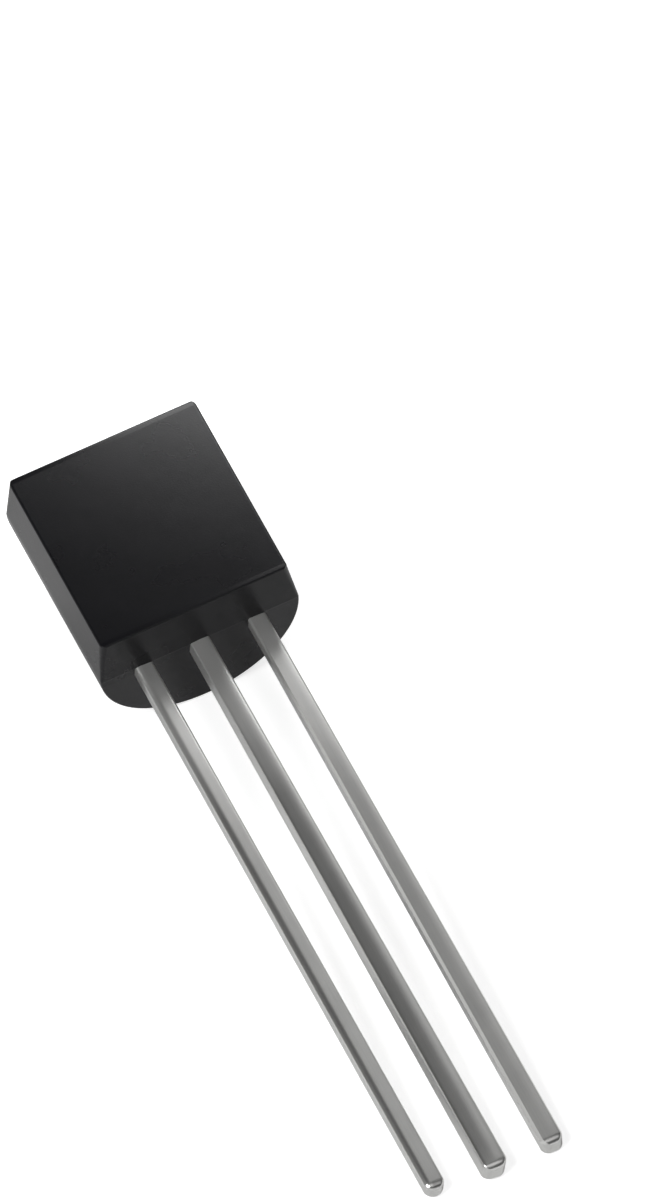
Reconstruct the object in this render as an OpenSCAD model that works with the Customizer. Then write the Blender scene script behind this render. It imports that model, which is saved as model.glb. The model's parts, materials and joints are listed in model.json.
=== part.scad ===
// Small-signal transistor in a moulded D-shaped package with three straight leads.
// Built standing up: X across the flat face, Y from the flat face to the round back,
// Z up the body, with the parting plane of the mould at Y = 0 and the leads running to -Z.
// at_rest() then lays it on its round back and its lead tips, flat face up.

/* [Body] */
// Width across the round back, and at the parting plane
body_w = 4.4; // [4:0.05:5.2]
// Height of the moulding, along the leads
body_h = 4.55; // [4.2:0.05:5.4]
// Depth from the parting plane forward to the flat face
front_depth = 1.16; // [1:0.02:1.6]
// Draft angle of the two side walls, in degrees
side_draft = 6.5; // [3:0.5:9]
// Draft angle of the top and bottom ends, in degrees
end_draft = 2; // [0.5:0.25:4]
// Radius of the flat face's four corners
flat_corner_r = 0.2; // [0.12:0.01:0.3]
// Radius to which those corners sharpen at the parting plane
parting_corner_r = 0.05; // [0.03:0.01:0.08]
// Share of a corner's radius by which its centre is set in from each wall
corner_inset = 0.97; // [0.94:0.01:0.99]
// Width of the broken edge round the flat face
flat_edge = 0.06; // [0.02:0.01:0.12]

/* [Mould marks] */
// Diameter of the ejector mark in the round back
dimple_d = 1.4; // [0.8:0.05:1.8]
// Depth of the ejector mark below the crown of the back
dimple_depth = 0.45; // [0.3:0.05:0.7]
// Width of the parting groove across the bottom end
bottom_seam_w = 0.22; // [0.1:0.02:0.34]
// Width of the parting groove across the top end
top_seam_w = 0.45; // [0.1:0.05:0.6]
// Depth of both parting grooves
seam_depth = 0.04; // [0.02:0.01:0.08]

/* [Leads] */
// Distance between lead centres
pitch = 1.27; // [1.15:0.01:1.39]
// Width of a lead, across the flat face
lead_w = 0.42; // [0.36:0.01:0.5]
// Thickness of a lead and of the whole lead frame
lead_t = 0.4; // [0.34:0.01:0.46]
// Length of a lead below the body
lead_l = 13.8; // [12.7:0.1:15]
// Size of the broken corners at a lead's tip
tip_break = 0.06; // [0.02:0.01:0.1]
// Size of the broken edges along a lead
edge_break = 0.04; // [0.02:0.01:0.06]

/* [Lead frame inside the body] */
// How far each locking ear stands out from its lead
ear_out = 0.12; // [0.06:0.01:0.16]
// Height of a locking ear
ear_h = 0.3; // [0.2:0.02:0.4]
// Height of the locking ears above the bottom end
ear_z = 0.45; // [0.3:0.05:0.6]
// Width of the bond pads on the base and emitter leads
pad_w = 0.74; // [0.6:0.02:0.84]
// Height of the bond pads
pad_h = 0.6; // [0.4:0.02:0.7]
// Width of the die paddle on the collector lead
paddle_w = 2.5; // [2:0.05:2.8]
// Height of the die paddle
paddle_h = 1.4; // [1.2:0.05:1.5]
// Moulding left above the die paddle
paddle_cover = 0.8; // [0.5:0.05:0.9]
// Gap between the die paddle and the bond pads below it
frame_gap = 0.32; // [0.2:0.02:0.4]

/* [Die and bond wires] */
// Side of the square silicon die
die_side = 0.9; // [0.5:0.05:1]
// Thickness of the die
die_t = 0.2; // [0.1:0.01:0.3]
// Thickness of the layer that holds the die to its paddle
attach_t = 0.03; // [0.02:0.01:0.06]
// How far that layer shows round the die
attach_rim = 0.06; // [0.02:0.01:0.1]
// Diameter of a bond wire
wire_d = 0.05; // [0.04:0.01:0.08]
// Diameter of the round foot at each end of a bond wire
foot_d = 0.14; // [0.1:0.01:0.18]
// Height of that foot
foot_h = 0.04; // [0.03:0.01:0.06]
// Rise of a bond wire above the die
loop_rise = 0.22; // [0.12:0.02:0.3]

/* [Hidden] */

// Length by which a cutting shape runs past what it cuts
past = 1;
// Share of the way to its tip at which a corner's cone stops behind the parting plane
corner_run_out = 0.7;
round_fn = 64;
wire_fn = 24;

// Moulding
body_r = body_w / 2;
side_slope = tan(side_draft);
end_slope = tan(end_draft);
crown_inset = body_r * end_slope;
flat_half_w = body_r - front_depth * side_slope;
mid_z = body_h / 2;

// Lead frame, whose front face lies in the parting plane
collector_x = -pitch;
base_x = 0;
emitter_x = pitch;
paddle_top = body_h - paddle_cover;
paddle_bottom = paddle_top - paddle_h;
paddle_x = collector_x - lead_w / 2;
pad_top = paddle_bottom - frame_gap;
pad_z = pad_top - pad_h / 2;

// Die, on the front face of the paddle
die_x = paddle_x + paddle_w / 2;
die_z = paddle_bottom + paddle_h / 2;
die_back = -attach_t;
die_front = die_back - die_t;
contact_offset = die_side / 4;
wire_top = die_front - foot_h - loop_rise;
// A bend is a little thicker than the wire that runs into it
bend_d = 1.2 * wire_d;

// Rest pose: the crown's bottom edge and the tips of the leads touch the ground
rest_tilt = atan2(body_r - lead_t, lead_l - tip_break + crown_inset);
ground = body_r * cos(rest_tilt) - crown_inset * sin(rest_tilt);
tail_y = body_r * sin(rest_tilt) + (body_h - crown_inset) * cos(rest_tilt);
tip_y = edge_break * sin(rest_tilt) - lead_l * cos(rest_tilt);

// Lays the standing part down, flat face up, with its box centred over the origin
module at_rest() {
    translate([0, -(tail_y + tip_y) / 2, ground])
        rotate([rest_tilt - 90, 0, 0])
            children();
}

// Extrudes a YZ outline across the width, centred on X = 0
module across(width) {
    translate([-width / 2, 0, 0])
        rotate([90, 0, 90])
            linear_extrude(height = width)
                children();
}

// Extrudes an XZ outline from y_front back through a depth
module through(y_front, depth) {
    translate([0, y_front + depth, 0])
        rotate([90, 0, 0])
            linear_extrude(height = depth)
                children();
}

// Straight round wire between two points
module rod(from, to, d) {
    run = to - from;
    translate(from)
        rotate([0, acos(run[2] / norm(run)), atan2(run[1], run[0])])
            cylinder(h = norm(run), d = d, $fn = wire_fn);
}

// ---- Moulding ----

// Plan of the moulding: drafted front with broken edges, and the round back
module plan() {
    edge_half_w = flat_half_w + flat_edge * side_slope;
    polygon([
        [-body_r, 0],
        [-edge_half_w, -front_depth + flat_edge],
        [-flat_half_w + flat_edge, -front_depth],
        [flat_half_w - flat_edge, -front_depth],
        [edge_half_w, -front_depth + flat_edge],
        [body_r, 0]
    ]);
    difference() {
        circle(r = body_r, $fn = round_fn);
        translate([-body_w, -body_w])
            square([2 * body_w, body_w]);
    }
}

// Side outline of the moulding: both ends drafted away from the parting plane
module side_outline() {
    back_y = body_r + past;
    front_inset = front_depth * end_slope;
    edge_inset = (front_depth - flat_edge) * end_slope;
    polygon([
        [-front_depth, front_inset + flat_edge],
        [-front_depth + flat_edge, edge_inset],
        [0, 0],
        [back_y, back_y * end_slope],
        [back_y, body_h - back_y * end_slope],
        [0, body_h],
        [-front_depth + flat_edge, body_h - edge_inset],
        [-front_depth, body_h - front_inset - flat_edge]
    ]);
}

// What the rounding takes off the bottom right corner: all outside a cone that grows from the
// parting plane to the flat face. Behind the parting plane it runs out before the cone's tip.
module corner_cut() {
    parting_inset = corner_inset * parting_corner_r;
    flat_inset = corner_inset * flat_corner_r;
    run = [
        flat_half_w - flat_inset - body_r + parting_inset,
        -front_depth,
        front_depth * end_slope + flat_inset - parting_inset
    ];
    growth = (flat_corner_r - parting_corner_r) / norm(run);
    behind = corner_run_out * parting_corner_r / growth;
    reach = norm(run) + past;
    translate([body_r - parting_inset, 0, parting_inset])
        rotate([-asin(run[2] / norm(run)), 0, -atan2(-run[0], -run[1])])
            difference() {
                translate([0, -reach, -past])
                    cube([past, reach + behind, past]);
                translate([0, behind, 0])
                    rotate([90, 0, 0])
                        cylinder(
                            h = reach + behind,
                            r1 = parting_corner_r - behind * growth,
                            r2 = parting_corner_r + reach * growth,
                            $fn = wire_fn
                        );
            }
}

module corner_cuts() {
    for (side = [0, 1])
        mirror([side, 0, 0]) {
            corner_cut();
            translate([0, 0, body_h])
                mirror([0, 0, 1])
                    corner_cut();
        }
}

// Shallow V across one end, from the parting plane towards +Y or -Y
module seam_groove(width, middle_y) {
    across(body_w + 2 * past)
        polygon([
            [middle_y, seam_depth],
            [middle_y + width, -seam_depth],
            [middle_y - width, -seam_depth]
        ]);
}

module ejector_mark() {
    translate([0, body_r - dimple_depth, mid_z])
        rotate([-90, 0, 0])
            cylinder(h = dimple_depth + past, d = dimple_d, $fn = round_fn);
}

module moulding() {
    difference() {
        intersection() {
            translate([0, 0, -past])
                linear_extrude(height = body_h + 2 * past)
                    plan();
            across(body_w + 2 * past)
                side_outline();
        }
        corner_cuts();
        seam_groove(bottom_seam_w, bottom_seam_w / 2);
        translate([0, 0, body_h])
            mirror([0, 0, 1])
                seam_groove(top_seam_w, -top_seam_w / 2);
        ejector_mark();
    }
}

// ---- Lead frame ----

// Front outline of a lead that ends at top_z, with broken corners at its tip
module lead_outline(top_z) {
    half = lead_w / 2;
    polygon([
        [-half + tip_break, -lead_l],
        [half - tip_break, -lead_l],
        [half, -lead_l + tip_break],
        [half, top_z],
        [-half, top_z],
        [-half, -lead_l + tip_break]
    ]);
    translate([-half - ear_out, ear_z])
        square([lead_w + 2 * ear_out, ear_h]);
}

// What the broken edges leave of a lead's section, below the body
module section_outline() {
    half = lead_w / 2;
    polygon([
        [-half + edge_break, 0],
        [half - edge_break, 0],
        [half, edge_break],
        [half, lead_t - edge_break],
        [half - edge_break, lead_t],
        [-half + edge_break, lead_t],
        [-half, lead_t - edge_break],
        [-half, edge_break]
    ]);
}

// Side outline of the frame: the tips are broken front and back
module frame_side(top_z) {
    polygon([
        [tip_break, -lead_l],
        [lead_t - tip_break, -lead_l],
        [lead_t, -lead_l + tip_break],
        [lead_t, top_z],
        [0, top_z],
        [0, -lead_l + tip_break]
    ]);
}

// One straight lead, centred on X = 0, with anything its children add inside the body
module lead(top_z) {
    intersection() {
        through(0, lead_t)
            lead_outline(top_z);
        across(lead_w + 2 * ear_out + past)
            frame_side(top_z);
        union() {
            translate([0, 0, -lead_l])
                linear_extrude(height = lead_l + ear_z)
                    section_outline();
            translate([-lead_w, 0, ear_z])
                cube([2 * lead_w, lead_t, top_z - ear_z]);
        }
    }
    through(0, lead_t)
        children();
}

module bond_pad() {
    translate([-pad_w / 2, pad_top - pad_h])
        square([pad_w, pad_h]);
}

module collector_frame() {
    translate([collector_x, 0, 0])
        lead(paddle_top)
            translate([-lead_w / 2, paddle_bottom])
                square([paddle_w, paddle_h]);
}

module base_frame() {
    translate([base_x, 0, 0])
        lead(pad_top)
            bond_pad();
}

module emitter_frame() {
    translate([emitter_x, 0, 0])
        lead(pad_top)
            bond_pad();
}

// ---- Die and bond wires ----

module chip() {
    translate([die_x - die_side / 2, die_front, die_z - die_side / 2])
        cube([die_side, die_t, die_side]);
}

module attach_layer() {
    side = die_side + 2 * attach_rim;
    translate([die_x - side / 2, die_back, die_z - side / 2])
        cube([side, attach_t, side]);
}

// Round foot of a bond wire, standing on a face at y_face
module wire_foot(x, y_face, z) {
    translate([x, y_face, z])
        rotate([90, 0, 0])
            cylinder(h = foot_h, d = foot_d, $fn = wire_fn);
}

// Bond wire from a contact on the die, over its loop and down to a bond pad
module bond_wire(contact_x, contact_z, pad_x) {
    rise = [contact_x, die_front - foot_h / 2, contact_z];
    knee = [contact_x, wire_top, contact_z];
    landing = [pad_x, -foot_h - wire_d / 2, pad_z];
    wire_foot(contact_x, die_front, contact_z);
    rod(rise, knee, wire_d);
    translate(knee)
        sphere(d = bend_d, $fn = wire_fn);
    rod(knee, landing, wire_d);
    translate(landing)
        sphere(d = bend_d, $fn = wire_fn);
    rod(landing, [pad_x, -foot_h / 2, pad_z], wire_d);
    wire_foot(pad_x, 0, pad_z);
}

module base_wire() {
    bond_wire(die_x - contact_offset, die_z - contact_offset, base_x);
}

module emitter_wire() {
    bond_wire(die_x + contact_offset, die_z, emitter_x);
}

// ---- Nodes ----

module body() {
    color([0.1, 0.1, 0.11])
        at_rest()
            difference() {
                moulding();
                collector_frame();
                base_frame();
                emitter_frame();
                attach_layer();
                chip();
                base_wire();
                emitter_wire();
            }
}

module collector_lead() {
    color([0.74, 0.74, 0.73])
        at_rest()
            collector_frame();
}

module base_lead() {
    color([0.74, 0.74, 0.73])
        at_rest()
            base_frame();
}

module emitter_lead() {
    color([0.74, 0.74, 0.73])
        at_rest()
            emitter_frame();
}

module silicon_die() {
    color([0.3, 0.32, 0.38])
        at_rest()
            chip();
}

module die_attach() {
    color([0.62, 0.62, 0.6])
        at_rest()
            attach_layer();
}

module base_bond_wire() {
    color([0.85, 0.65, 0.3])
        at_rest()
            base_wire();
}

module emitter_bond_wire() {
    color([0.85, 0.65, 0.3])
        at_rest()
            emitter_wire();
}

body();
collector_lead();
base_lead();
emitter_lead();
silicon_die();
die_attach();
base_bond_wire();
emitter_bond_wire();
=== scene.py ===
"""Dresses a small-signal transistor: its black moulding, its tinned leads and its sealed die.

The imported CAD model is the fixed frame. Meshes are shaped in millimetres on the moulding's own
axes (X across the flat face, Y from the flat face to the round back, Z up the body, with the
parting plane at Y = 0 and the lead end at Z = 0) and are then laid into the frame.
"""

import json
import logging
import math
from dataclasses import dataclass, field
from enum import Enum

import bmesh
import bpy
from bmesh.types import BMesh, BMEdge, BMFace, BMVert
from bpy.types import Material, NodeSocket, Object
from mathutils import Matrix, Quaternion, Vector

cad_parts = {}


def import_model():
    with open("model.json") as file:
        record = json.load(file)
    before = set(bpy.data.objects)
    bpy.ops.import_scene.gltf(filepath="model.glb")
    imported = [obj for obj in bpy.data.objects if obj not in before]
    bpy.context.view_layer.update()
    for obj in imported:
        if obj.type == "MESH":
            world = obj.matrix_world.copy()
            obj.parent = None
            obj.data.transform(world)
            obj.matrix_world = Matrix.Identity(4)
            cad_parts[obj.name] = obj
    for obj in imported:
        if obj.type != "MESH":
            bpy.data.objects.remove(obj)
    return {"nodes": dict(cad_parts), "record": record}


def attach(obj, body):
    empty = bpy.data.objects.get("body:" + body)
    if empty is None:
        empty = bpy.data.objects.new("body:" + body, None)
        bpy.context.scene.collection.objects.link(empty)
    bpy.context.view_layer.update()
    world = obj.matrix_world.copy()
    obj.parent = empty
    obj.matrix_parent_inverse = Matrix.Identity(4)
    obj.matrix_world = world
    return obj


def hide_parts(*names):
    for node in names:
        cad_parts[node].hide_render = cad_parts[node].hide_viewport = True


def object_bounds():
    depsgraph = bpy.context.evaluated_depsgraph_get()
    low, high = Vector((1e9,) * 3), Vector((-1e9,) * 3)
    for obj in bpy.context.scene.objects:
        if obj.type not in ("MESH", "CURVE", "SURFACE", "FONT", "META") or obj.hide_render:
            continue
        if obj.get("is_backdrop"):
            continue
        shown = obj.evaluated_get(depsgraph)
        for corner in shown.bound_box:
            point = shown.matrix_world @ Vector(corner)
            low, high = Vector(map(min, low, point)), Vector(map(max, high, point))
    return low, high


Pair = tuple[float, float]
Triple = tuple[float, float, float]
Feed = NodeSocket | float | tuple[float, ...]

MM = 0.001
BODY = "root"
BACK = Vector((0, 1, 0))
UP = Vector((0, 0, 1))

# Points closer than this, in millimetres, count as one
TIDY = 1e-4

# Least part of a face's normal along an axis for the face to count as facing that way
FACING = 0.9

# A lead's edges that turn by more than this are shaded sharp
SHARP = math.radians(30)

# Range of a noise value: nearly all of it, and three steps closer to its middle
NEARLY_ALL = (0.1, 0.9)
BROAD = (0.2, 0.8)
MIDDLE = (0.3, 0.7)
NARROW = (0.35, 0.65)

# Sockets of a Mix node that carry colours
FIRST_COLOUR, SECOND_COLOUR, MIXED_COLOUR = 6, 7, 2

log = logging.getLogger("transistor")


class Zone(Enum):
    """Material slots of the moulding, in the order that its mesh uses them."""

    SATIN = 0
    GLOSS = 1


class End(Enum):
    """The two ends of the moulding."""

    BOTTOM = -1
    TOP = 1


# ---- Shared helpers ----


@dataclass(frozen=True)
class PackageAxes:
    """Where the moulding's own axes lie in the frame.

    Attributes:
        matrix: Takes a point on the moulding's axes, in millimetres, into the frame, in metres.
        lean: Angle by which the flat face leans towards the lead tips, in radians.
    """

    matrix: Matrix
    lean: float

    @classmethod
    def from_record(cls, record: dict, lead_thickness: float) -> "PackageAxes":
        """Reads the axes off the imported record's mounts.

        Args:
            record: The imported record.
            lead_thickness: Thickness of the lead frame in millimetres.

        Returns:
            The axes of the moulding as it lies at rest.
        """
        mounts = {mount["name"]: mount for mount in record["mounts"]}
        up = -Vector(mounts["leads"]["axis"])
        back = -Vector(mounts["flat_front"]["axis"])
        across = back.cross(up)
        turn = Matrix((across, back, up)).transposed().to_4x4()
        origin = Vector(mounts["leads"]["pos_m"]) - back * (lead_thickness * MM / 2)
        matrix = Matrix.Translation(origin) @ turn @ Matrix.Scale(MM, 4)
        return cls(matrix=matrix, lean=math.atan2(up.z, up.y))

    def level(self, height: float) -> float:
        """Where a height in millimetres lies along the leads from the frame's origin, in metres."""
        end = self.matrix.translation
        return math.cos(self.lean) * end.y + math.sin(self.lean) * end.z + height * MM


def verts_in(geom: list) -> list[BMVert]:
    """Returns the vertices among what a mesh operator made."""
    return [item for item in geom if isinstance(item, BMVert)]


def cut_line(bm: BMesh, normal: Vector, place: float = 0.0, clear: bool = False) -> None:
    """Adds an edge line where a plane crosses the mesh.

    Args:
        bm: The mesh.
        normal: The plane's normal.
        place: Where the plane stands along its normal.
        clear: Whether what lies past the plane goes.
    """
    parts, point = bm.verts[:] + bm.edges[:] + bm.faces[:], normal * place
    bmesh.ops.bisect_plane(bm, geom=parts, dist=TIDY, plane_co=point, plane_no=normal, clear_outer=clear)


def round_off(bm: BMesh, geom: list, radius: float, steps: int, affect: str) -> None:
    """Rounds vertices or edges.

    Args:
        bm: The mesh.
        geom: The vertices or edges to round.
        radius: Radius of the rounding.
        steps: Facets across it.
        affect: VERTICES or EDGES.
    """
    bmesh.ops.bevel(
        bm,
        geom=geom,
        offset=radius,
        offset_type="OFFSET",
        segments=steps,
        profile=0.5,
        affect=affect,
        material=-1,
    )


def mesh_object(name: str, bm: BMesh) -> Object:
    """Turns a bmesh into an object in the scene and frees it.

    Args:
        name: Name of the object and of its mesh.
        bm: The finished bmesh.

    Returns:
        The new object, at the origin.
    """
    mesh = bpy.data.meshes.new(name)
    bm.to_mesh(mesh)
    bm.free()
    obj = bpy.data.objects.new(name, mesh)
    bpy.context.scene.collection.objects.link(obj)
    return obj


def apply_modifiers(obj: Object) -> None:
    """Replaces an object's mesh by the result of its modifiers.

    Args:
        obj: The object, which keeps its name and loses its modifiers.
    """
    graph = bpy.context.evaluated_depsgraph_get()
    graph.update()
    baked = bpy.data.meshes.new_from_object(obj.evaluated_get(graph), depsgraph=graph)
    old = obj.data
    obj.modifiers.clear()
    obj.data = baked
    bpy.data.meshes.remove(old)
    baked.name = obj.name


def lay(obj: Object, axes: PackageAxes) -> None:
    """Moves a piece's mesh into the frame and smooths its shading, with the broad faces kept plane.

    Args:
        obj: The piece, whose own transform stays empty.
        axes: The moulding's axes.
    """
    obj.data.transform(axes.matrix)
    obj.data.update()
    obj.data.shade_smooth()
    normals = obj.modifiers.new("broad faces", "WEIGHTED_NORMAL")
    normals.mode = "FACE_AREA"
    normals.weight = 100
    normals.keep_sharp = True


def coat(obj: Object, *materials: Material) -> None:
    """Gives an object these materials, in the order of its slots, in place of its own.

    Args:
        obj: The object.
        materials: Its new materials.
    """
    obj.data.materials.clear()
    for material in materials:
        obj.data.materials.append(material)


# ---- Finishes ----


class NodeSheet:
    """A node tree, with short calls for the nodes that the finishes and the stage use."""

    def __init__(self, owner: Material | bpy.types.World) -> None:
        """Starts with an empty tree.

        Args:
            owner: The material or world that the tree belongs to.
        """
        owner.use_nodes = True
        self.tree = owner.node_tree
        self.tree.nodes.clear()

    def node(
        self, kind: str, feeds: dict[str | int, Feed] | None = None, **settings: str
    ) -> bpy.types.bpy_prop_collection:
        """Adds a node.

        Args:
            kind: Type of the node, without the ShaderNode that starts each one.
            feeds: What its inputs get, each a socket to join or a value. A colour is linear.
            settings: Its other properties.

        Returns:
            Its output sockets.
        """
        node = self.tree.nodes.new("ShaderNode" + kind)
        for name, value in settings.items():
            setattr(node, name, value)
        for key, feed in (feeds or {}).items():
            socket = node.inputs[key]
            if isinstance(feed, NodeSocket):
                self.tree.links.new(feed, socket)
            elif socket.type == "RGBA":
                socket.default_value = (*feed, 1.0)
            else:
                socket.default_value = feed
        return node.outputs

    def position(self, axes: PackageAxes, stretch: float = 1.0) -> NodeSocket:
        """Object coordinates, turned to the moulding's axes.

        Args:
            axes: The moulding's axes.
            stretch: How many times longer a pattern comes out along the leads.

        Returns:
            The vector socket.
        """
        coords = self.node("TexCoord")
        turn = (math.pi / 2 - axes.lean, 0.0, 0.0)
        turned = self.node("Mapping", {"Vector": coords["Object"], "Rotation": turn})
        scale = (1.0, 1.0, 1 / stretch)
        return self.node("Mapping", {"Vector": turned["Vector"], "Scale": scale})["Vector"]

    def height(self, vector: Feed) -> NodeSocket:
        """Third value of a vector: the height of a place or the rise of a ray."""
        return self.node("SeparateXYZ", {"Vector": vector})["Z"]

    def noise(self, vector: Feed, feature: float, detail: float, roughness: float = 0.5) -> NodeSocket:
        """Noise from 0 to 1 with features of so many millimetres and so many finer octaves."""
        feeds = {"Vector": vector, "Scale": 1 / (feature * MM), "Detail": detail, "Roughness": roughness}
        return self.node("TexNoise", feeds)["Fac"]

    def remap(self, value: Feed, given: Pair, wanted: Pair, **settings: str) -> NodeSocket:
        """Maps the given range of a value onto the wanted one, clamped."""
        ends = zip(("From Min", "From Max", "To Min", "To Max"), (*given, *wanted))
        return self.node("MapRange", {"Value": value, **dict(ends)}, **settings)["Result"]

    def maths(self, operation: str, *terms: Feed) -> NodeSocket:
        """Result of an operation on its terms."""
        return self.node("Math", dict(enumerate(terms)), operation=operation)["Value"]

    def blend(self, amount: Feed, low: Feed, high: Feed) -> NodeSocket:
        """Blend from one colour to another."""
        feeds = {0: amount, FIRST_COLOUR: low, SECOND_COLOUR: high}
        return self.node("Mix", feeds, data_type="RGBA")[MIXED_COLOUR]

    def bump(self, height: Feed, depth: float) -> NodeSocket:
        """Normal of a surface on which a height value of 1 is so many millimetres."""
        feeds = {"Height": height, "Distance": depth * MM, "Strength": 1.0}
        return self.node("Bump", feeds)["Normal"]


@dataclass(frozen=True)
class Finish:
    """The look of a surface.

    Attributes:
        name: Name of the material.
    """

    name: str

    def feeds(self, sheet: NodeSheet, axes: PackageAxes) -> dict[str, Feed]:
        """Works out what each input of the shader gets."""
        raise NotImplementedError

    def material(self, axes: PackageAxes) -> Material:
        """Builds the material.

        Args:
            axes: The moulding's axes.

        Returns:
            The material.
        """
        material = bpy.data.materials.new(self.name)
        sheet = NodeSheet(material)
        shader = sheet.node("BsdfPrincipled", self.feeds(sheet, axes))
        sheet.node("OutputMaterial", {"Surface": shader["BSDF"]})
        return material


@dataclass(frozen=True)
class EpoxyFinish(Finish):
    """Black moulding compound: filled epoxy with the mould's own texture.

    Attributes:
        dark: Colour of the resin.
        light: Colour where the filler shows.
        roughness: Smoothest and roughest patches.
        patch: Size of a patch in millimetres.
        patch_tone: How far towards light the palest patches go.
        grain: Size of the surface grain in millimetres.
        grain_depth: Height of the grain in millimetres.
        filler: Grain values at which the filler starts to show and shows fully.
        filler_tone: How far towards light the filler goes.
        wave: Length of the slow waves of the surface in millimetres.
        swell: Height of the slow waves in millimetres.
        ior: Refractive index.
    """

    dark: Triple = (0.0026, 0.0026, 0.0034)
    light: Triple = (0.0065, 0.0065, 0.0086)
    roughness: Pair = (0.265, 0.29)
    patch: float = 1.1
    patch_tone: float = 0.6
    grain: float = 0.035
    grain_depth: float = 0.0009
    filler: Pair = (0.55, 0.8)
    filler_tone: float = 0.7
    wave: float = 0.55
    swell: float = 0.0016
    ior: float = 1.38

    def feeds(self, sheet: NodeSheet, axes: PackageAxes) -> dict[str, Feed]:
        """Works out what each input of the shader gets.

        Args:
            sheet: The material's node tree.
            axes: The moulding's axes.

        Returns:
            A socket or a value for each input.
        """
        where = sheet.position(axes)
        patches = sheet.noise(where, self.patch, detail=3.0)
        grain = sheet.noise(where, self.grain, detail=2.0, roughness=0.6)
        waves = sheet.noise(where, self.wave, detail=1.0)
        tone = sheet.maths(
            "ADD",
            sheet.remap(patches, NEARLY_ALL, (0.0, self.patch_tone)),
            sheet.remap(grain, self.filler, (0.0, self.filler_tone)),
        )
        relief = sheet.remap(grain, BROAD, (0.0, self.grain_depth / self.swell))
        return {
            "Base Color": sheet.blend(tone, self.dark, self.light),
            "Roughness": sheet.remap(patches, NEARLY_ALL, self.roughness),
            "Normal": sheet.bump(sheet.maths("ADD", waves, relief), self.swell),
            "IOR": self.ior,
        }


@dataclass(frozen=True)
class TinFinish(Finish):
    """Tin plate over drawn and stamped copper alloy, with painted shade darkening it near the moulding.

    Attributes:
        dull: Colour of the darker streaks.
        bright: Colour of the brighter metal.
        roughness: Smoothest and roughest clouds.
        streak: Width of a draw line in millimetres.
        streak_length: Length of a draw line, in widths.
        streak_tone: How far towards bright the draw lines go.
        line_depth: Depth of the draw lines in millimetres.
        cloud: Size of a cloud in the plate in millimetres.
        cloud_tone: How far towards bright the clouds go.
        matt_and_shade_zone: Heights above the lead end of the moulding between which the plate turns
            matt and takes painted shade that darkens it towards the moulding, in millimetres.
        shaded_metallic: Metallic value near the moulding, lowered as painted shade.
        matt_roughness: Roughness that the matt plate adds.
        painted_shade_colour: Colour near the moulding, darker than the metal as painted shade.
    """

    dull: Triple = (0.74, 0.74, 0.725)
    bright: Triple = (0.84, 0.84, 0.82)
    roughness: Pair = (0.2755, 0.2785)
    streak: float = 0.03
    streak_length: float = 30.0
    streak_tone: float = 0.55
    line_depth: float = 0.0002
    cloud: float = 0.8
    cloud_tone: float = 0.45
    # Near the moulding the plate turns matt, which is real roughness, and darker and less metallic, which
    # is painted shade
    matt_and_shade_zone: Pair = (-4.0, -0.6)
    shaded_metallic: float = 0.7
    matt_roughness: float = 0.02
    painted_shade_colour: Triple = (0.52, 0.52, 0.51)

    def feeds(self, sheet: NodeSheet, axes: PackageAxes) -> dict[str, Feed]:
        """Works out what each input of the shader gets.

        Args:
            sheet: The material's node tree.
            axes: The moulding's axes.

        Returns:
            A socket or a value for each input.
        """
        even = sheet.position(axes)
        along = sheet.position(axes, self.streak_length)
        lines = sheet.noise(along, self.streak, detail=3.0, roughness=0.6)
        clouds = sheet.noise(even, self.cloud, detail=4.0)
        tone = sheet.maths(
            "ADD",
            sheet.remap(lines, MIDDLE, (0.0, self.streak_tone)),
            sheet.remap(clouds, NARROW, (0.0, self.cloud_tone)),
        )
        height = sheet.height(even)
        # Towards the moulding the colour darkens and the metal dims as painted shade; the added roughness
        # is real
        zone = tuple(axes.level(edge) for edge in self.matt_and_shade_zone)
        metal = sheet.blend(tone, self.dull, self.bright)
        rough = sheet.remap(clouds, BROAD, self.roughness)
        return {
            "Base Color": sheet.blend(sheet.remap(height, zone, (0.0, 1.0)), metal, self.painted_shade_colour),
            "Metallic": sheet.remap(height, zone, (1.0, self.shaded_metallic)),
            "Roughness": sheet.maths("ADD", rough, sheet.remap(height, zone, (0.0, self.matt_roughness))),
            "Normal": sheet.bump(lines, self.line_depth),
        }


@dataclass(frozen=True)
class PlainMetalFinish(Finish):
    """A small metal or silicon part with a fine grain.

    Attributes:
        dark: Darker colour of the grain.
        light: Lighter colour of the grain.
        metallic: Metallic value.
        roughness: Smoothest and roughest patches.
        grain: Size of the grain in millimetres.
        grain_depth: Height of the grain in millimetres.
    """

    dark: Triple
    light: Triple
    metallic: float
    roughness: Pair
    grain: float
    grain_depth: float

    def feeds(self, sheet: NodeSheet, axes: PackageAxes) -> dict[str, Feed]:
        """Works out what each input of the shader gets.

        Args:
            sheet: The material's node tree.
            axes: The moulding's axes.

        Returns:
            A socket or a value for each input.
        """
        grain = sheet.noise(sheet.position(axes), self.grain, detail=3.0)
        return {
            "Base Color": sheet.blend(sheet.remap(grain, MIDDLE, (0.0, 1.0)), self.dark, self.light),
            "Metallic": self.metallic,
            "Roughness": sheet.remap(grain, MIDDLE, self.roughness),
            "Normal": sheet.bump(grain, self.grain_depth),
        }


# ---- Moulding ----


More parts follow.
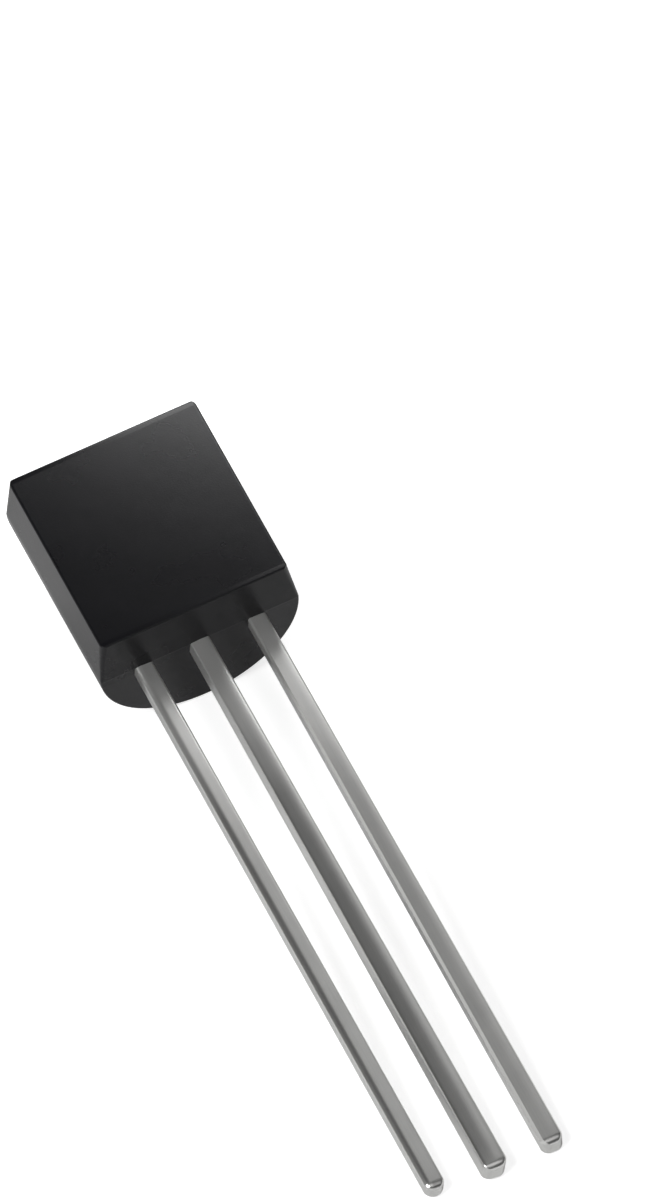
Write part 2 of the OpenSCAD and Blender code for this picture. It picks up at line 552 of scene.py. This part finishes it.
@dataclass
class Moulding:
    """The black moulding: drafted flat front, round back, drafted ends and mould marks.

    Sizes are in millimetres and angles in degrees.

    Attributes:
        width: Width across the round back.
        height: Height along the leads.
        front_depth: Depth from the parting plane to the flat face.
        side_draft: Draft of the side walls.
        end_draft: Draft of the two ends.
        flat_corner_radius: Radius of the flat face's corners.
        parting_corner_radius: Radius to which they sharpen at the parting plane.
        flat_edge_radius: Radius of the edges between the flat face and the side walls.
        end_edge_radius: Radius of the edges round the two ends.
        arc_steps: Facets of the round back.
        edge_steps: Facets across a rounded edge.
        corner_steps: Facets round a corner.
        seam_depth: Depth of the parting step across each end.
        seam_width: Distance over which each step runs out, behind the parting plane at the
            bottom and in front of it at the top.
        seam_steps: Facets across each step.
        dimple_diameter: Diameter of the ejector mark.
        dimple_depth: Depth of the ejector mark below the crown.
        dimple_facets: Facets round it.
        dimple_floor_radius: Radius round its floor.
        dimple_floor_steps: Facets across that radius.
        dimple_rim_radius: Radius of its rim.
        dimple_rim_steps: Facets across that radius.
        dimple_rim_angle: Least angle between two faces at the rim.
        pin_reach: How far the pin that leaves the mark stands out of the crown.
        polish_limit: Most that a face of the polished back leans towards an end, as part of its normal.
    """

    width: float = 4.4
    height: float = 4.55
    front_depth: float = 1.16
    side_draft: float = 6.5
    end_draft: float = 2.0
    flat_corner_radius: float = 0.14
    parting_corner_radius: float = 0.05
    flat_edge_radius: float = 0.05
    end_edge_radius: float = 0.04
    arc_steps: int = 120
    edge_steps: int = 4
    corner_steps: int = 9
    seam_depth: float = 0.03
    seam_width: dict[End, float] = field(default_factory=lambda: {End.BOTTOM: 0.22, End.TOP: 0.45})
    seam_steps: int = 8
    dimple_diameter: float = 1.4
    dimple_depth: float = 0.45
    dimple_facets: int = 72
    dimple_floor_radius: float = 0.12
    dimple_floor_steps: int = 6
    dimple_rim_radius: float = 0.03
    dimple_rim_steps: int = 3
    dimple_rim_angle: float = 40.0
    pin_reach: float = 1.0
    polish_limit: float = 0.3

    @property
    def radius(self) -> float:
        """Radius of the round back."""
        return self.width / 2

    @property
    def side_slope(self) -> float:
        """Narrowing of the front per millimetre of depth."""
        return math.tan(math.radians(self.side_draft))

    def plan(self, bm: BMesh) -> None:
        """Draws the plan: a half disc behind the parting plane and a rectangle in front.

        Args:
            bm: An empty mesh, which gets the two faces at the lower end's rounded edge.
        """
        bmesh.ops.create_circle(bm, cap_ends=True, segments=2 * self.arc_steps, radius=self.radius)
        cut_line(bm, -BACK, clear=True)
        parting = [edge for edge in bm.edges if all(abs(v.co.y) < TIDY for v in edge.verts)]
        corners = verts_in(bmesh.ops.extrude_edge_only(bm, edges=parting)["geom"])
        bmesh.ops.translate(bm, verts=corners, vec=-BACK * self.front_depth)
        round_off(bm, corners, self.flat_edge_radius, self.edge_steps, "VERTICES")
        bmesh.ops.translate(bm, verts=bm.verts, vec=UP * self.end_edge_radius)

    def round_end(self, bm: BMesh, end: End) -> None:
        """Rounds the edge of one end by insetting it in steps.

        Args:
            bm: The extruded block.
            end: The end to round.
        """
        caps = [face for face in bm.faces if face.normal.z * end.value > FACING]
        quarter = math.pi / 2 / self.edge_steps
        for step in range(self.edge_steps):
            here, there = step * quarter, (step + 1) * quarter
            bmesh.ops.inset_region(
                bm,
                faces=caps,
                thickness=self.end_edge_radius * (math.cos(here) - math.cos(there)),
                depth=self.end_edge_radius * (math.sin(there) - math.sin(here)),
                use_boundary=True,
                use_even_offset=True,
            )

    def add_lines(self, bm: BMesh) -> None:
        """Adds the edge lines that the corners, the drafts and the parting steps need.

        Args:
            bm: The block with its ends rounded.
        """
        for step in range(1, self.corner_steps + 1):
            rise = self.flat_corner_radius * (1 - math.cos(math.pi / 2 * step / self.corner_steps))
            for level in (rise, self.height - rise):
                cut_line(bm, UP, level)
        for end in End:
            for step in range(self.seam_steps + 1):
                cut_line(bm, BACK, -end.value * self.seam_width[end] * step / self.seam_steps)

    def corner_limit(self, from_end: float, depth: float) -> float:
        """Half width that a rounded corner leaves.

        Args:
            from_end: Distance from the nearer end.
            depth: Distance behind the parting plane, negative in front of it.

        Returns:
            The largest half width at that place.
        """
        growth = (self.flat_corner_radius - self.parting_corner_radius) / self.front_depth
        corner = max(TIDY, self.parting_corner_radius - depth * growth)
        drop = min(max(0.0, corner - from_end), corner)
        arc = math.sqrt(corner**2 - drop**2)
        return self.radius - corner + arc + max(0.0, depth) * self.side_slope

    def seam_drop(self, vert: BMVert, from_end: float, end: End) -> float:
        """How far an end's parting step sets a vertex back.

        Args:
            vert: The vertex.
            from_end: Its distance from that end.
            end: The end.

        Returns:
            The distance.
        """
        away = -end.value * vert.co.y / self.seam_width[end]
        if not TIDY < away < 1:
            return 0.0
        inward = max(0.0, 1 - from_end / (2 * self.end_edge_radius))
        edge_fade = min(1.0, (self.radius - abs(vert.co.x)) / (2 * self.flat_corner_radius))
        return self.seam_depth * (1 - away) * inward * max(0.0, edge_fade)

    def shape(self, bm: BMesh) -> None:
        """Rounds the corners, drafts the walls and sets the parting steps back.

        Args:
            bm: The block with its lines added.
        """
        end_slope = math.tan(math.radians(self.end_draft))
        for vert in bm.verts:
            end = End.BOTTOM if vert.co.z < self.height / 2 else End.TOP
            from_end = vert.co.z if end is End.BOTTOM else self.height - vert.co.z
            limit = self.corner_limit(from_end, vert.co.y)
            drop = self.seam_drop(vert, from_end, end)
            vert.co.x = max(-limit, min(limit, vert.co.x))
            if vert.co.y < 0:
                vert.co.x *= 1 + vert.co.y * self.side_slope / self.radius
            draft = abs(vert.co.y) * end_slope * (1 - 2 * from_end / self.height)
            vert.co.z -= end.value * (draft + drop)

    def ejector_pin(self) -> Object:
        """Makes the round pin that leaves the ejector mark.

        Returns:
            The pin, which the caller removes.
        """
        bm = bmesh.new()
        length = self.dimple_depth + self.pin_reach
        radius = self.dimple_diameter / 2
        bmesh.ops.create_cone(
            bm, cap_ends=True, segments=self.dimple_facets, radius1=radius, radius2=radius, depth=length
        )
        floor = min(bm.faces, key=lambda face: face.normal.z)
        round_off(bm, list(floor.edges), self.dimple_floor_radius, self.dimple_floor_steps, "EDGES")
        middle = self.radius - self.dimple_depth + length / 2
        place = Matrix.Translation((0, middle, self.height / 2)) @ Matrix.Rotation(-math.pi / 2, 4, "X")
        bmesh.ops.transform(bm, matrix=place, verts=bm.verts)
        return mesh_object("ejector_pin", bm)

    def press_dimple(self, obj: Object) -> None:
        """Presses the ejector mark in and breaks its rim.

        Args:
            obj: The moulding.
        """
        pin = self.ejector_pin()
        cut = obj.modifiers.new("ejector mark", "BOOLEAN")
        cut.operation = "DIFFERENCE"
        cut.solver = "EXACT"
        cut.object = pin
        rim = obj.modifiers.new("rim", "BEVEL")
        rim.width = self.dimple_rim_radius
        rim.segments = self.dimple_rim_steps
        rim.limit_method = "ANGLE"
        rim.angle_limit = math.radians(self.dimple_rim_angle)
        apply_modifiers(obj)
        bpy.data.objects.remove(pin)

    def zone_of(self, face: bpy.types.MeshPolygon) -> Zone:
        """The round back is polished and all else is satin."""
        on_back = face.center.y > TIDY and abs(face.normal.z) < self.polish_limit
        return Zone.GLOSS if on_back else Zone.SATIN

    def build(self, axes: PackageAxes) -> Object:
        """Models the moulding and lays it into the frame.

        Args:
            axes: The moulding's axes.

        Returns:
            The moulding.
        """
        bm = bmesh.new()
        self.plan(bm)
        raised = verts_in(bmesh.ops.extrude_face_region(bm, geom=bm.faces[:])["geom"])
        bmesh.ops.translate(bm, verts=raised, vec=UP * (self.height - 2 * self.end_edge_radius))
        bmesh.ops.recalc_face_normals(bm, faces=bm.faces)
        for end in End:
            self.round_end(bm, end)
        self.add_lines(bm)
        self.shape(bm)
        bmesh.ops.remove_doubles(bm, verts=bm.verts, dist=TIDY)
        bmesh.ops.recalc_face_normals(bm, faces=bm.faces)
        obj = mesh_object("moulding", bm)
        self.press_dimple(obj)
        for face in obj.data.polygons:
            face.material_index = self.zone_of(face).value
        lay(obj, axes)
        return obj

    def dress(self, obj: Object, axes: PackageAxes) -> None:
        """Gives the moulding its two finishes.

        Args:
            obj: The moulding.
            axes: The moulding's axes.
        """
        finishes = {
            Zone.SATIN: EpoxyFinish("epoxy satin"),
            Zone.GLOSS: EpoxyFinish("epoxy polished", roughness=(0.2, 0.27), grain_depth=0.0005),
        }
        coat(obj, *(finishes[zone].material(axes) for zone in Zone))


# ---- Leads ----


def between(start: Pair, end: Pair, steps: int) -> list[Pair]:
    """Points at even steps between two others, without them."""
    shares = [step / steps for step in range(1, steps)]
    return [(start[0] + (end[0] - start[0]) * s, start[1] + (end[1] - start[1]) * s) for s in shares]


@dataclass
class FramePlate:
    """What a lead carries on its inner end, in the plane of the lead frame.

    Attributes:
        bottom: Lower edge of the plate.
        top: Upper edge of the plate.
        left: How far it stands out on the left of the lead.
        right: How far it stands out on the right of the lead.
    """

    bottom: float
    top: float
    left: float
    right: float


@dataclass(frozen=True)
class Section:
    """Section of a tinned lead where it shows. Its front is the side of the flat face.

    Lengths are in millimetres and angles in degrees.

    Attributes:
        front_left: Reach of the broken edge on the left of the front, across and through.
        front_right: Radius of the edge on the right of the front.
        back: Radius of the two edges at the back.
        cut_left: Whether the edge on the left of the front is cut flat rather than rounded.
        aside: How far the section stands to the right of the lead's middle.
        tilt: Slope of the front face against the section, rising to the right.
        fall: Fall of the front face towards the right, past that slope.
        fall_from: Where that fall starts, from -1 on the left to 1 on the right.
        base_turn: Turn of the front towards the right, just below the moulding.
        tip_turn: The same turn at the tip.
        base_scale: Size just below the moulding, against the plain section.
        tip_scale: Size at the tip, where the tin is thickest.
    """

    front_left: Pair
    front_right: float = 0.05
    back: float = 0.07
    cut_left: bool = False
    aside: float = 0.0
    tilt: float = 0.0
    fall: float = 0.0
    fall_from: float = 0.0
    base_turn: float = 0.0
    tip_turn: float = 0.0
    base_scale: float = 0.94
    tip_scale: float = 1.06

    def outline(self, width: float, thickness: float, steps: int) -> list[Pair]:
        """Points round the section, from the left of its front to the right.

        Args:
            width: Width of the plain section.
            thickness: Thickness of the plain section.
            steps: Facets across each edge and across each face.

        Returns:
            The points, as distances from its middle across and through.
        """
        corners = (
            (-1, -1, *self.front_left),
            (1, -1, self.front_right, self.front_right),
            (1, 1, self.back, self.back),
            (-1, 1, self.back, self.back),
        )
        points = []
        for quarter, (side, face, wide, deep) in enumerate(corners):
            arc = []
            for step in range(steps + 1):
                angle = math.pi * (1 + (quarter + step / steps) / 2)
                x = side * (width / 2 - wide) + wide * math.cos(angle)
                arc.append((x, face * (thickness / 2 - deep) + deep * math.sin(angle)))
            if quarter == 0 and self.cut_left:
                arc = [arc[0], *between(arc[0], arc[-1], steps), arc[-1]]
            points += between(points[-1], arc[0], steps) if points else []
            points += arc
        points += between(points[-1], points[0], steps)
        return [(x, self.raised(x / (width / 2), y, thickness, width)) for x, y in points]

    def raised(self, across: float, y: float, thickness: float, width: float) -> float:
        """Moves a point through the section to follow the slope and the fall of the front.

        Args:
            across: Place across the section, from -1 on the left to 1 on the right.
            y: Place through the section, negative at the front.
            thickness: Thickness of the plain section.
            width: Width of the plain section.

        Returns:
            The new place through the section.
        """
        front = 0.5 - y / thickness
        rise = math.tan(math.radians(self.tilt)) * across * width / 2
        fall = self.fall * max(0.0, (across - self.fall_from) / (1 - self.fall_from)) ** 2
        return y + front * (fall - rise)

    def turn(self, share: float) -> float:
        """Turn of the section at a share of the way to the tip, in radians."""
        return math.radians(self.base_turn + (self.tip_turn - self.base_turn) * share)

    def scale(self, share: float) -> float:
        """Scale of the section at a share of the way to the tip."""
        return self.base_scale + (self.tip_scale - self.base_scale) * share


@dataclass
class Lead:
    """A straight tinned lead with the part of the lead frame that it carries.

    Sizes are in millimetres.

    Attributes:
        name: Name of the piece.
        node: CAD node that it stands for.
        middle: Distance of its middle from the moulding's middle.
        plate: Bond pad or die paddle on its inner end.
        section: Section of the part that shows.
        length: Length below the moulding.
        width: Width across the flat face.
        thickness: Thickness of the lead frame.
        tip_radius: Radius of its tip's corners, seen from the front.
        tip_fall: Radius of its tip's edges, seen from the side.
        tip_steps: Facets across the tip's rounding.
        rings: Steps along the part that shows.
        outline_steps: Facets across each edge and face of the section.
        ear_out: How far each locking ear stands out.
        ear_bottom: Lower edge of the locking ears.
        ear_top: Upper edge of the locking ears.
        bar_bottom: Height inside the moulding at which the plain bar starts.
        tin_top: Height inside the moulding up to which the tin reaches.
    """

    name: str
    node: str
    middle: float
    plate: FramePlate
    section: Section
    length: float
    width: float
    thickness: float
    tip_radius: float = 0.19
    tip_fall: float = 0.1
    tip_steps: int = 10
    rings: int = 30
    outline_steps: int = 7
    ear_out: float = 0.12
    ear_bottom: float = 0.45
    ear_top: float = 0.75
    bar_bottom: float = 0.3
    tin_top: float = 0.2

    def push_out(self, bm: BMesh, side: int, bottom: float, top: float, reach: float) -> None:
        """Extrudes the bar's side between two heights.

        Args:
            bm: The lead's mesh.
            side: -1 for the left side, 1 for the right.
            bottom: Lower height.
            top: Upper height.
            reach: How far the new part stands out.
        """
        faces = []
        for face in bm.faces:
            middle = face.calc_center_median()
            on_side = face.normal.x * side > FACING and abs(middle.x - side * self.width / 2) < TIDY
            if on_side and bottom < middle.z < top:
                faces.append(face)
        moved = verts_in(bmesh.ops.extrude_face_region(bm, geom=faces)["geom"])
        bmesh.ops.delete(bm, geom=faces, context="FACES")
        bmesh.ops.translate(bm, verts=moved, vec=(side * reach, 0, 0))

    def bar(self, bm: BMesh) -> list[BMEdge]:
        """Makes the sealed part: the plain bar with its ears and its plate.

        Args:
            bm: An empty mesh.

        Returns:
            The edges of the bar's open lower end.
        """
        tall = self.plate.top - self.bar_bottom
        bmesh.ops.create_cube(bm, size=1.0)
        bmesh.ops.scale(bm, vec=(self.width, self.thickness, tall), verts=bm.verts)
        bmesh.ops.translate(bm, vec=(0, self.thickness / 2, self.plate.top - tall / 2), verts=bm.verts)
        for level in (self.ear_bottom, self.ear_top, self.plate.bottom):
            cut_line(bm, UP, level)
        for side, reach in ((-1, self.plate.left), (1, self.plate.right)):
            self.push_out(bm, side, self.ear_bottom, self.ear_top, self.ear_out)
            if reach > 0:
                self.push_out(bm, side, self.plate.bottom, self.plate.top, reach)
        lower_end = min(bm.faces, key=lambda face: face.calc_center_median().z)
        rim = list(lower_end.edges)
        bmesh.ops.delete(bm, geom=[lower_end], context="FACES_ONLY")
        return rim

    def stations(self) -> list[Triple]:
        """Lists where the tinned part's rings go.

        Returns:
            For each ring its height, and the share of its width and of its thickness that the
            rounded tip leaves.
        """
        straight = self.length - self.tip_radius
        rings = [(self.tin_top, 1.0, 1.0)]
        for step in range(self.rings + 1):
            rings.append((-straight * step / self.rings, 1.0, 1.0))
        for step in range(1, self.tip_steps + 1):
            angle = math.pi / 2 * step / self.tip_steps
            fall = 1 - math.cos(angle)
            wide = 1 - fall * self.tip_radius / (self.width / 2)
            deep = 1 - fall * self.tip_fall / (self.thickness / 2)
            rings.append((-straight - self.tip_radius * math.sin(angle), wide, deep))
        return rings

    def placing(self, height: float, wide: float, deep: float) -> Matrix:
        """Matrix that takes the plain outline to its place on the lead.

        Args:
            height: Height of the ring.
            wide: Share of the width that is left.
            deep: Share of the thickness that is left.

        Returns:
            The matrix.
        """
        share = min(1.0, max(0.0, -height / self.length))
        turn, scale = self.section.turn(share), self.section.scale(share)
        room = (scale - 1) * self.thickness / 2 + abs(math.sin(turn)) * self.width / 2
        middle = Vector((self.section.aside, self.thickness / 2 - room, height))
        size = Matrix.Diagonal((scale * wide, scale * deep, 1.0, 1.0))
        return Matrix.Translation(middle) @ Matrix.Rotation(turn, 4, "Z") @ size

    def tinned_part(self, bm: BMesh) -> list[BMEdge]:
        """Extrudes the section from inside the moulding to the rounded tip.

        Args:
            bm: The lead's mesh.

        Returns:
            The edges of its open upper end.
        """
        points = self.section.outline(self.width, self.thickness, self.outline_steps)
        ring = bmesh.ops.create_circle(bm, cap_ends=True, segments=len(points), radius=1.0)["verts"]
        for vert, (x, y) in zip(ring, points):
            vert.co = (x, y, 0)
        cap = next(face for face in ring[0].link_faces)
        rim = list(cap.edges)
        verts, last = ring, Matrix.Identity(4)
        for station, (height, wide, deep) in enumerate(self.stations()):
            if station > 0:
                grown = bmesh.ops.extrude_face_region(bm, geom=[cap])["geom"]
                bmesh.ops.delete(bm, geom=[cap], context="FACES_ONLY")
                cap = next(item for item in grown if isinstance(item, BMFace))
                verts = list(cap.verts)
            place = self.placing(height, wide, deep)
            bmesh.ops.transform(bm, matrix=place @ last.inverted(), verts=verts)
            last = place
        return rim

    def build(self, axes: PackageAxes) -> Object:
        """Models the lead and lays it into the frame.

        Args:
            axes: The moulding's axes.

        Returns:
            The lead.
        """
        bm = bmesh.new()
        upper = self.bar(bm)
        lower = self.tinned_part(bm)
        bmesh.ops.bridge_loops(bm, edges=upper + lower)
        bmesh.ops.remove_doubles(bm, verts=bm.verts, dist=TIDY)
        bmesh.ops.recalc_face_normals(bm, faces=bm.faces)
        for edge in bm.edges:
            edge.smooth = edge.calc_face_angle(0.0) < SHARP
        bmesh.ops.translate(bm, verts=bm.verts, vec=(self.middle, 0, 0))
        obj = mesh_object(self.name, bm)
        lay(obj, axes)
        return obj


@dataclass
class LeadFrame:
    """The three leads in a row, with the paddle and the bond pads that they carry.

    Sizes are in millimetres.

    Attributes:
        pitch: Distance between lead centres.
        lead_width: Width of a lead.
        thickness: Thickness of the lead frame.
        pad_bottom: Lower edge of the bond pads.
        pad_top: Upper edge of the bond pads.
        pad_width: Width of the bond pads.
        paddle_bottom: Lower edge of the die paddle.
        paddle_top: Upper edge of the die paddle.
        paddle_width: Width of the die paddle.
    """

    pitch: float = 1.27
    lead_width: float = 0.42
    thickness: float = 0.4
    pad_bottom: float = 1.43
    pad_top: float = 2.03
    pad_width: float = 0.74
    paddle_bottom: float = 2.35
    paddle_top: float = 3.75
    paddle_width: float = 2.5

    def leads(self) -> list[Lead]:
        """Lists the three leads, from the collector to the emitter."""
        ear = (self.pad_width - self.lead_width) / 2
        paddle = FramePlate(self.paddle_bottom, self.paddle_top, 0.0, self.paddle_width - self.lead_width)
        pad = FramePlate(self.pad_bottom, self.pad_top, ear, ear)
        rounded = Section(
            (0.15, 0.08), 0.06, back=0.14, base_turn=7.0, tip_turn=7.0, base_scale=0.94, tip_scale=1.02
        )
        crowned = Section(
            (0.02, 0.05), aside=-0.03, tilt=12.5, fall=0.028, fall_from=-0.15,
            base_turn=8.5, tip_turn=11.5, base_scale=0.98, tip_scale=1.2,
        )
        square = Section(
            (0.05, 0.052), cut_left=True, aside=-0.025, fall=0.008, fall_from=0.1,
            base_turn=3.0, tip_turn=2.0, base_scale=0.91, tip_scale=1.12,
        )
        rows = (
            ("plated_collector_lead", "collector_lead", -self.pitch, paddle, rounded, 13.72),
            ("plated_base_lead", "base_lead", 0.0, pad, crowned, 13.9),
            ("plated_emitter_lead", "emitter_lead", self.pitch, pad, square, 13.88),
        )
        return [Lead(*row, self.lead_width, self.thickness) for row in rows]

    def build(self, axes: PackageAxes) -> None:
        """Models and dresses the three leads.

        Args:
            axes: The moulding's axes.
        """
        tin = TinFinish(name="tin plate").material(axes)
        for lead in self.leads():
            obj = lead.build(axes)
            coat(obj, tin)
            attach(obj, BODY)
            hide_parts(lead.node)
            log.info("%s: %d faces, stands for %s", obj.name, len(obj.data.polygons), lead.node)


# ---- Sealed pieces ----


@dataclass(frozen=True)
class SealedPieces:
    """The die, its bond layer and its bond wires, which keep their CAD meshes.

    Attributes:
        silicon: Finish of the die.
        bond_layer: Finish of the layer under the die.
        gold: Finish of the bond wires.
    """

    silicon: PlainMetalFinish = PlainMetalFinish(
        "polished silicon", dark=(0.05, 0.055, 0.075), light=(0.11, 0.12, 0.16),
        metallic=0.6, roughness=(0.12, 0.2), grain=0.05, grain_depth=0.0002,
    )
    bond_layer: PlainMetalFinish = PlainMetalFinish(
        "silver bond layer", dark=(0.36, 0.36, 0.34), light=(0.6, 0.6, 0.57),
        metallic=0.8, roughness=(0.45, 0.65), grain=0.02, grain_depth=0.002,
    )
    gold: PlainMetalFinish = PlainMetalFinish(
        "gold wire", dark=(0.72, 0.48, 0.14), light=(0.88, 0.64, 0.26),
        metallic=1.0, roughness=(0.18, 0.28), grain=0.02, grain_depth=0.0004,
    )

    def dress(self, nodes: dict[str, Object], axes: PackageAxes) -> None:
        """Gives each sealed node its material.

        Args:
            nodes: The CAD nodes by name.
            axes: The moulding's axes.
        """
        gold = self.gold.material(axes)
        finishes = {
            "silicon_die": self.silicon.material(axes),
            "die_attach": self.bond_layer.material(axes),
            "base_bond_wire": gold,
            "emitter_bond_wire": gold,
        }
        for name, finish in finishes.items():
            coat(nodes[name], finish)
            log.info("%s: CAD mesh, finish %s", name, finish.name)


# ---- Stage ----


@dataclass(frozen=True)
class Softbox:
    """A rectangular studio lamp, placed from the lead end of the moulding.

    Attributes:
        name: Name of the lamp.
        place: Its middle, right, back and up from the lead end, in millimetres.
        aim: Point that it faces, in the same way.
        width: Its width in millimetres.
        depth: Its other side in millimetres.
        brightness: Radiance of its face, where 1 is white.
    """

    name: str
    place: Triple
    aim: Triple
    width: float
    depth: float
    brightness: float

    def light(self, lead_end: Vector) -> None:
        """Hangs the lamp.

        Args:
            lead_end: Middle of the moulding's lead end.
        """
        data = bpy.data.lights.new(self.name, "AREA")
        data.shape = "RECTANGLE"
        data.size = self.width * MM
        data.size_y = self.depth * MM
        data.energy = self.brightness * math.pi * data.size * data.size_y
        lamp = bpy.data.objects.new(self.name, data)
        lamp.location = lead_end + Vector(self.place) * MM
        facing = Vector(self.aim) - Vector(self.place)
        lamp.rotation_euler = facing.to_track_quat("-Z", "Y").to_euler()
        lamp.visible_camera = False
        bpy.context.scene.collection.objects.link(lamp)
        log.info("%s: %.5f W", self.name, data.energy)


@dataclass(frozen=True)
class Studio:
    """Floor, backdrop and lamps.

    Attributes:
        floor_size: Side of the floor in metres.
        floor_white: Reflectance of the floor.
        seen_glow: Light that the floor adds where it is seen.
        mirrored_glow: Light that it adds where it is mirrored or seen through glass.
        horizon: Brightness of the backdrop at the horizon.
        zenith: Brightness of the backdrop overhead.
        horizon_top: Sine of the elevation up to which it is as bright as at the horizon.
        zenith_from: Sine of the elevation from which it is as dim as overhead.
        lamps: The softboxes.
    """

    floor_size: float = 1.2
    floor_white: float = 0.7
    seen_glow: float = 0.7
    mirrored_glow: float = 0.03
    horizon: float = 0.8
    zenith: float = 0.04
    horizon_top: float = 0.28
    zenith_from: float = 0.42
    lamps: tuple[Softbox, ...] = (
        Softbox("key softbox", (-116.0, -58.0, 172.0), (0.0, -5.0, 0.0), 85.0, 85.0, 13.5),
        Softbox("front softbox", (15.0, -48.0, 115.0), (0.0, -8.0, 0.0), 70.0, 52.0, 0.7),
        Softbox("strip softbox", (19.5, 10.0, 40.0), (1.5, -7.0, 0.0), 8.0, 44.0, 0.4),
        Softbox("side softbox", (36.5, 12.0, 40.0), (1.5, -7.0, 0.0), 26.0, 44.0, 0.2),
        Softbox("back softbox", (5.3, 9.9, 10.9), (1.6, 5.0, 1.7), 9.4, 5.0, 7.2),
    )

    def floor_material(self) -> Material:
        """Builds a pale floor that keeps the part's shadow and adds its own light for some rays.

        Returns:
            The material.
        """
        shares = {
            "Is Camera Ray": self.seen_glow,
            "Is Glossy Ray": self.mirrored_glow,
            "Is Transmission Ray": self.mirrored_glow,
        }
        material = bpy.data.materials.new("pale floor")
        sheet = NodeSheet(material)
        rays = sheet.node("LightPath")
        strength: Feed = 0.0
        for ray, share in shares.items():
            strength = sheet.maths("MULTIPLY_ADD", rays[ray], share, strength)
        matt = sheet.node("BsdfDiffuse", {"Color": (self.floor_white,) * 3})
        glow = sheet.node("Emission", {"Strength": strength})
        both = sheet.node("AddShader", {0: matt["BSDF"], 1: glow["Emission"]})
        sheet.node("OutputMaterial", {"Surface": both["Shader"]})
        return material

    def lay_floor(self, height: float) -> None:
        """Lays the floor under the part.

        Args:
            height: Height of the part's lowest point.
        """
        bm = bmesh.new()
        bmesh.ops.create_grid(bm, x_segments=1, y_segments=1, size=self.floor_size / 2)
        bmesh.ops.translate(bm, verts=bm.verts, vec=UP * height)
        floor = mesh_object("floor", bm)
        floor.data.materials.append(self.floor_material())
        floor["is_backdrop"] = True

    def hang_backdrop(self) -> None:
        """Gives the world a backdrop that is pale at the horizon and dim overhead, and seen white."""
        world = bpy.data.worlds.new("backdrop")
        bpy.context.scene.world = world
        sheet = NodeSheet(world)
        rise = sheet.height(sheet.node("TexCoord")["Generated"])
        rises, levels = (self.horizon_top, self.zenith_from), (self.horizon, self.zenith)
        level = sheet.remap(rise, rises, levels, interpolation_type="SMOOTHSTEP")
        seen = sheet.node("LightPath")["Is Camera Ray"]
        strength = sheet.maths("MAXIMUM", level, seen)
        sky = sheet.node("Background", {"Color": (1.0, 1.0, 1.0), "Strength": strength})
        sheet.node("OutputWorld", {"Surface": sky["Background"]})

    def build(self, lead_end: Vector, ground: float) -> None:
        """Sets the stage.

        Args:
            lead_end: Middle of the moulding's lead end.
            ground: Height of the floor.
        """
        self.lay_floor(ground)
        self.hang_backdrop()
        for lamp in self.lamps:
            lamp.light(lead_end)


@dataclass(frozen=True)
class LongLensCamera:
    """A distant camera with a long lens, looking down on the flat face from the lead end.

    Attributes:
        azimuth: Direction it stands in, from the front towards the right, in degrees.
        elevation: Its height above the horizon, in degrees.
        roll: Turn about its own axis, anticlockwise as it looks, in degrees.
        distance: Distance from the point that it looks at, in metres.
        lens: Focal length in millimetres.
        aim_right: How far to its own right of the lead end that point lies, in metres.
        aim_up: How far above the lead end, in its own view, that point lies, in metres.
        nearest: Distance from which it sees, in metres.
        farthest: Distance up to which it sees, in metres.
    """

    azimuth: float = -15.572
    elevation: float = 51.145
    roll: float = -11.596
    distance: float = 0.6013
    lens: float = 900.0
    aim_right: float = 2.636 * MM
    aim_up: float = 0.899 * MM
    nearest: float = 0.01
    farthest: float = 20.0

    def build(self, lead_end: Vector) -> None:
        """Places the camera.

        Args:
            lead_end: Middle of the moulding's lead end.
        """
        data = bpy.data.cameras.new("camera")
        data.lens = self.lens
        data.clip_start = self.nearest
        data.clip_end = self.farthest
        camera = bpy.data.objects.new("camera", data)
        azimuth, rise = math.radians(self.azimuth), math.radians(self.elevation)
        level = math.cos(rise)
        away = Vector((math.sin(azimuth) * level, -math.cos(azimuth) * level, math.sin(rise)))
        turn = (-away).to_track_quat("-Z", "Y") @ Quaternion((0, 0, 1), math.radians(self.roll))
        aim = lead_end + turn @ Vector((self.aim_right, self.aim_up, 0))
        camera.location = aim + away * self.distance
        camera.rotation_euler = turn.to_euler()
        bpy.context.scene.collection.objects.link(camera)
        bpy.context.scene.camera = camera


def main() -> None:
    """Builds the part's looks and its stage."""
    logging.basicConfig(level=logging.INFO, format="%(name)s: %(message)s")
    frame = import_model()
    cad_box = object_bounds()
    lead_frame = LeadFrame()
    axes = PackageAxes.from_record(frame["record"], lead_frame.thickness)

    moulding = Moulding()
    piece = moulding.build(axes)
    moulding.dress(piece, axes)
    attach(piece, BODY)
    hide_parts("body")
    log.info("%s: %d faces, stands for body", piece.name, len(piece.data.polygons))
    lead_frame.build(axes)
    SealedPieces().dress(frame["nodes"], axes)

    lead_end = axes.matrix @ Vector((0, lead_frame.thickness / 2, 0))
    Studio().build(lead_end, ground=cad_box[0].z)
    LongLensCamera().build(lead_end)
    bpy.context.scene.view_settings.view_transform = "Standard"


if __name__ == "__main__":
    main()
